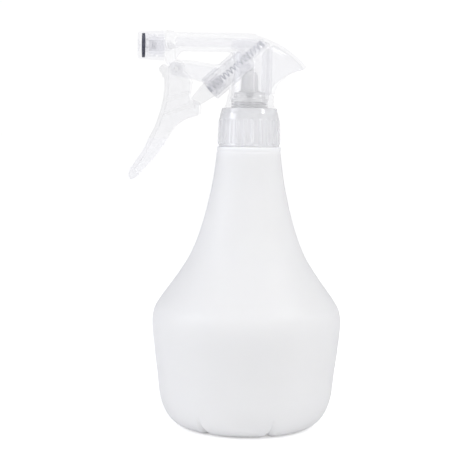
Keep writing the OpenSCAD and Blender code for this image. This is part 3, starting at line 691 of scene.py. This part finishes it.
# ---------------------------------------------------------------- trigger
FRONT = [[-41.9, 174], [-41.8, 168], [-42.3, 163], [-43.3, 158], [-44.6, 153.5], [-46.6, 148], [-49.2, 143],
         [-52.2, 136.8], [-55.2, 132.2], [-57.6, 128.8], [-58.9, 126.2], [-59.3, 124.4], [-59, 122.9],
         [-58.2, 122.3]]
REAR = [[-58.2, 122.3], [-57.2, 122.6], [-55.4, 123.8], [-52.6, 126.4], [-48.3, 131], [-44.4, 136],
        [-41.4, 140.3], [-38.8, 145], [-36.4, 148.4], [-32.8, 151.2], [-29, 152.9], [-26, 153.6]]
JAW = [[-24.7, 154.4], [-24.4, 155.6], [-24.4, 158.8], [-25.2, 160.2], [-27.2, 161.0], [-29.0, 162.2],
       [-29.3, 164.4], [-29.0, 167.6], [-28.8, 170.6], [-30.2, 173.2]]


def trigger_field(X, Y, Z):
    ay = np.abs(Y)
    front, rear, jaw = catmull(FRONT, 6), catmull(REAR, 6), catmull(JAW, 4)
    ear = [PIVOT + 3.7 * np.array([math.cos(math.radians(d)), math.sin(math.radians(d))]) for d in range(-20, 161, 10)]
    outline = np.concatenate([front, rear[1:], jaw, ear, [[-41.6, 176.5]]])
    so = sd_poly(X, Z, outline)
    body = smax(so, ay - 8.0, 1.3)
    # hollow between the side plates
    tt = np.gradient(front, axis=0)
    tt /= np.linalg.norm(tt, axis=1, keepdims=True)
    inner = front + 1.8 * np.stack([-tt[:, 1], tt[:, 0]], -1)
    hp = np.concatenate([inner[3:-22], [[-50, 121], [-15, 121], [-15, 184], [-40.05, 184]]])
    hollow = smax(sd_poly(X, Z, hp), ay - 6.6, 1.0)
    D = smax(body, -hollow, 0.4)
    knob = smax(np.hypot(X + 42.6, Z - 176.5) - 1.9, ay - 8.0, 1.0)
    under = smax(sd_poly(X, Z, [[-43.4, 176.2], [-42.8, 172.6], [-40.15, 172.6], [-41.0, 176.2]]), ay - 8.0, 1.0)
    D = smin(D, smin(knob, under, 0.8), 0.8)
    bump = smax(np.hypot(X + 28.86, Z - 159.02) - 2.0, ay - 7.1, 0.2)
    w1 = smax(sd_poly(X, Z, [[-28.6, 160.1], [-42.2, 155.2], [-42.0, 153.8], [-28.4, 158.6]]), ay - 7.1, 0.2)
    w2 = smax(sd_poly(X, Z, [[-29.7, 165.9], [-41.6, 162.0], [-41.5, 160.7], [-29.7, 164.6]]), ay - 7.1, 0.2)
    webs = smin(smin(bump, w1, 0.4), w2, 0.2)
    D = smin(D, webs, 0.5)
    pin = smax(np.hypot(X - PIVOT[0], Z - PIVOT[1]) - 1.3, ay - 12, 0.1)
    return smax(D, -pin, 0.2)


# ---------------------------------------------------------------- springs
def coil(name, rc, rw, coils, length, frame_of, sides=12, steps=30, z0=0.0):
    n = int(coils * steps)
    closed = 2 * rw * 1.08
    m = coils - 2
    p = (length - 2 * rw - 2 * closed) / m
    i = np.arange(n + 1)
    t = i / steps
    rise = np.where(t < 1, closed * t, np.where(t < coils - 1, closed + p * (t - 1),
                                                closed + p * m + closed * (t - coils + 1)))
    a = 2 * np.pi * t
    b = np.arange(sides) * 2 * np.pi / sides
    A, B = np.meshgrid(a, b, indexing="ij")
    Rr = rc + rw * np.cos(B)
    V = np.stack([Rr * np.cos(A), Rr * np.sin(A), z0 + rw + rise[:, None] + rw * np.sin(B)], -1).reshape(-1, 3)
    # cut ends closed with flat caps
    e0 = np.array([[rc * math.cos(a[0]), rc * math.sin(a[0]), z0 + rw + rise[0]]])
    e1 = np.array([[rc * math.cos(a[-1]), rc * math.sin(a[-1]), z0 + rw + rise[-1]]])
    V = np.concatenate([V, e0, e1])
    V = frame_of(V)
    q, tr = [], []
    ii, jj = np.meshgrid(np.arange(n), np.arange(sides), indexing="ij")
    j2 = (jj + 1) % sides
    q = np.stack([ii * sides + jj, ii * sides + j2, (ii + 1) * sides + j2, (ii + 1) * sides + jj], -1).reshape(-1, 4)
    c0, c1 = len(V) - 2, len(V) - 1
    for k in range(sides):
        tr.append((c0, (k + 1) % sides, k))
        tr.append((c1, n * sides + k, n * sides + (k + 1) % sides))
    ob = grid_mesh(name, V, q, tr)
    fix_normals(ob)
    return ob


# ---------------------------------------------------------------- build the pieces
H = 0.28

piece(bottle(), M_MILK, "bottle", "bottle")
piece(collar(), M_COLLAR, "collar", "screw_collar")
housing = piece(sdf_object("housing_shell", housing_field, (-50.4, -13.0, 155.2), (29.4, 13.0, 195.2), H),
                M_CLEAR, "head", "sprayer_housing")
housing.data.materials.append(M_CYL)
C = np.empty(len(housing.data.polygons) * 3)
housing.data.polygons.foreach_get("center", C)
C = C.reshape(-1, 3) * 1000
along = (C[:, 0] - PUMP0[0]) * PU[0] + (C[:, 2] - PUMP0[1]) * PU[1]
off = (C[:, 0] - PUMP0[0]) * PU[1] - (C[:, 2] - PUMP0[1]) * PU[0]
wall = (np.hypot(off, C[:, 1]) < 6.6) & (along > -1) & (along < 25)
housing.data.polygons.foreach_set("material_index", wall.astype(np.int32))
piece(sdf_object("trigger_shell", trigger_field, (-60.2, -8.6, 121.6), (-23.6, 8.6, 181.2), H),
      M_FROST, "trigger", "trigger")

cap = round_profile([(7.1, 0), (7.3, 0.35), (6.66, 11.4), (6.45, 12.3), (5.9, 12.9), (3.25, 12.9), (2.2, 12.0),
                     (0.4, 11.95), (0.4, 10.9), (5.95, 10.9), (5.95, 8.2), (5.5, 8.0), (5.5, 4.0), (4.38, 3.9),
                     (4.38, 3.1), (5.5, 3.0), (5.5, 0.0)], 0.3, n=4)
piece(revolve("nozzle_cap_shell", resample(cap, 1.2), 192, frame_of=to_barrel(-42.3, CAP_Z)),
      M_CAP, "nozzle", "nozzle_cap")
ring = round_profile([(3.82, 0.0), (5.88, 0.0), (5.88, 1.38), (3.82, 1.38)], 0.3, n=4)
piece(revolve("nozzle_gasket_ring", ring, 144, frame_of=to_barrel(-51.71, CAP_Z)),
      M_NAVY, "nozzle", "nozzle_gasket")

plug = round_profile([(2.5, 160.6), (2.5, 146.4), (4.0, 146.4), (4.2, 147.0), (4.6, 152.95), (4.6, 161.0),
                      (7.0, 161.0), (7.0, 154.3), (9.0, 152.95), (12.6, 152.95), (12.6, 155.85), (8.9, 155.85),
                      (8.9, 159.0), (7.9, 159.0), (7.9, 160.8), (8.9, 160.8), (8.9, 162.7), (7.7, 162.8),
                      (7.7, 165.7), (3.2, 165.7), (3.2, 165.1), (2.6, 164.8), (1.3, 163.2), (1.3, 160.6)], 0.3, n=4)
piece(revolve("intake_plug_turned", resample(plug, 1.5), 160), M_PLUG, "head", "intake_plug")
seal = [(8.44 + 0.5 * math.cos(b), 159.9 + 0.5 * math.sin(b)) for b in np.linspace(0, 2 * np.pi, 24, endpoint=False)]
piece(revolve("plug_seal_ring", seal, 144), M_SEAL, "head", "plug_seal")
foam = round_profile([(9.42, 151.46), (12.38, 151.46), (12.38, 152.84), (9.42, 152.84)], 0.35, n=4)
piece(revolve("neck_gasket_ring", foam, 144), M_FOAM, "head", "neck_gasket")

rod = round_profile([(0.02, -10.4), (2.0, -10.4), (2.55, -10.15), (2.85, -9.6), (4.3, -1.0), (4.3, 1.6), (3.3, 1.6),
                     (3.3, 6.2), (3.75, 6.3), (3.75, 6.8), (3.4, 7.1), (2.15, 7.1), (2.15, -1.1), (0.02, -1.1)],
                    0.25, closed=False, n=4)
piece(revolve("piston_rod_turned", resample(rod, 1.2, closed=False), 128, frame_of=to_pump, closed=False),
      M_ROD, "piston", "piston_rod")
cup = round_profile([(3.33, 1.65), (4.6, 1.65), (4.95, 1.7), (4.95, 2.2), (4.4, 2.9), (4.4, 4.9), (4.95, 5.6),
                     (4.95, 6.1), (4.6, 6.15), (3.9, 5.5), (3.33, 5.5)], 0.2, n=4)
piece(revolve("piston_cup_turned", cup, 144, frame_of=to_pump), M_CUP, "piston", "piston_cup")

spring = coil("return_spring_wire", 1.45, 0.3, 17, 35.25, to_pump, z0=-1.05)
piece(spring, M_STEEL, "head", "return_spring")
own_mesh(spring)
vspring = coil("outlet_spring_wire", 1.22, 0.17, 7, 8.2, to_barrel(-40.08, CAP_Z), steps=28)
piece(vspring, M_COILS, "head", "outlet_spring")
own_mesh(vspring)

for node, m, s in (("valve_dome", M_VALVE, "valve_pe"), ("inlet_ball", M_BALL, "glass_ball"),
                   ("outlet_ball", M_COILS, "glass_ball"), ("dip_tube", M_TUBE, "tube_pe"),
                   ("trigger_pin", M_PIN, "frosted_pp"), ("swirl_insert", M_COILS, "frosted_pp")):
    dress(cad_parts[node], m)


# ---------------------------------------------------------------- stage, light, camera
def seen(nt, kinds):
    """A factor that is 1 on rays of these kinds."""
    lp = nt.nodes.new("ShaderNodeLightPath")
    out = lp.outputs[kinds[0]]
    for k in kinds[1:]:
        mx = nt.nodes.new("ShaderNodeMath")
        mx.operation = "MAXIMUM"
        nt.links.new(out, mx.inputs[0])
        nt.links.new(lp.outputs[k], mx.inputs[1])
        out = mx.outputs[0]
    return out


# the sweep: an evenly lit white paper, with a little of its own shade where the bottle stands
fm = bpy.data.materials.new("studio_floor")
nt, N, L, b = nodes_of(fm)
b.inputs["Base Color"].default_value = (0.84, 0.84, 0.84, 1)
b.inputs["Roughness"].default_value = 0.9
b.inputs["Specular IOR Level"].default_value = 0.1
em = N.new("ShaderNodeEmission")
em.inputs["Color"].default_value = (1, 1, 1, 1)
em.inputs["Strength"].default_value = FLOOR_GLOW
add = N.new("ShaderNodeAddShader")
L.new(b.outputs["BSDF"], add.inputs[0])
L.new(em.outputs["Emission"], add.inputs[1])
mx = N.new("ShaderNodeMixShader")
L.new(seen(nt, ["Is Diffuse Ray", "Is Glossy Ray"]), mx.inputs["Fac"])
L.new(add.outputs["Shader"], mx.inputs[1])
L.new(b.outputs["BSDF"], mx.inputs[2])
L.new(mx.outputs["Shader"], next(n for n in N if n.type == "OUTPUT_MATERIAL").inputs["Surface"])
bpy.ops.mesh.primitive_plane_add(size=60, location=(0, 0, -0.0001))
floor = bpy.context.object
floor.name = "studio_floor"
floor.data.materials.append(fm)

world = bpy.data.worlds.new("studio")
bpy.context.scene.world = world
world.use_nodes = True
wt = world.node_tree
wn, wl = wt.nodes, wt.links
bg = next(n for n in wn if n.type == "BACKGROUND")
tc = wn.new("ShaderNodeTexCoord")
sep = wn.new("ShaderNodeSeparateXYZ")
wl.new(tc.outputs["Generated"], sep.inputs["Vector"])


def ramp_on(fac, stops, name):
    r = wn.new("ShaderNodeValToRGB")
    r.name = name
    wl.new(fac, r.inputs["Fac"])
    els = r.color_ramp.elements
    els[0].position, els[1].position = stops[0][0], stops[-1][0]
    els[0].color, els[1].color = (*stops[0][1], 1), (*stops[-1][1], 1)
    for pos, col in stops[1:-1]:
        els.new(pos).color = (*col, 1)
    return r.outputs["Color"]


depth = wn.new("ShaderNodeMapRange")
depth.inputs["From Min"].default_value = -1.0
depth.inputs["From Max"].default_value = 1.0
wl.new(sep.outputs["Y"], depth.inputs["Value"])
wx = wn.new("ShaderNodeMix")
wx.data_type = "RGBA"
wx.blend_type = "MULTIPLY"
wx.inputs["Factor"].default_value = 1.0
wl.new(ramp_on(sep.outputs["Z"], ENV, "by_height"), wx.inputs["A"])
wl.new(ramp_on(depth.outputs["Result"], DEPTH, "by_depth"), wx.inputs["B"])
wl.new(wx.outputs["Result"], bg.inputs["Color"])
bg.inputs["Strength"].default_value = 1.0
white = wn.new("ShaderNodeBackground")
white.inputs["Color"].default_value = (1, 1, 1, 1)
white.inputs["Strength"].default_value = 1.02
wm = wn.new("ShaderNodeMixShader")
wl.new(seen(wt, ["Is Camera Ray"]), wm.inputs["Fac"])
wl.new(bg.outputs["Background"], wm.inputs[1])
wl.new(white.outputs["Background"], wm.inputs[2])
wl.new(wm.outputs["Shader"], next(n for n in wn if n.type == "OUTPUT_WORLD").inputs["Surface"])


def softbox(name, loc, target, size, power, size_y=None, spread=math.radians(150), col=(1, 1, 1)):
    d = bpy.data.lights.new(name, "AREA")
    d.color = col
    d.shape = "RECTANGLE"
    d.size = size
    d.size_y = size_y or size
    d.energy = power
    d.spread = spread
    o = bpy.data.objects.new(name, d)
    link(o)
    o.location = loc
    o.rotation_euler = (Vector(target) - Vector(loc)).to_track_quat("-Z", "Y").to_euler()
    return o


softbox("key_left", (-0.95, -0.18, 0.45), (0, 0, 0.12), 0.5, KEY_LEFT, size_y=0.6, col=(0.92, 0.94, 1.0))
softbox("key_right", (0.72, -0.44, 0.9), (0, 0, 0.12), 0.2, KEY_RIGHT, size_y=0.5)
softbox("strip_front", (0.27, -0.98, 0.42), (0, 0, 0.12), 0.05, STRIP, size_y=0.5)
softbox("top", (0.0, 0.1, 1.25), (0, 0, 0.1), 0.5, TOP)

cam = bpy.data.cameras.new("photo_view")
cam_o = link(bpy.data.objects.new("photo_view", cam))
cam.sensor_width = 36
cam.lens = 95.98
cam.clip_start = 0.01
dist, az = 0.6219, math.radians(-7)
loc = Vector((math.sin(az) * dist, -math.cos(az) * dist, 0.1454))
cam_o.location = loc
fwd_h = Vector((-math.sin(az), math.cos(az), 0))
yaw = 0.01003
fwd = Matrix.Rotation(yaw, 4, "Z") @ fwd_h
pitch = 0.08083
d = Vector((fwd.x * math.cos(pitch), fwd.y * math.cos(pitch), -math.sin(pitch)))
q = d.to_track_quat("-Z", "Y")
roll = Matrix.Rotation(math.radians(-0.803), 4, d)
cam_o.rotation_euler = (roll @ q.to_matrix().to_4x4()).to_euler()
bpy.context.scene.camera = cam_o

sc = bpy.context.scene
sc.view_settings.view_transform = "Standard"
sc.view_settings.look = "None"
sc.cycles.max_bounces = 24
sc.cycles.transmission_bounces = 24
sc.cycles.transparent_max_bounces = 16
sc.cycles.glossy_bounces = 6
sc.cycles.diffuse_bounces = 6
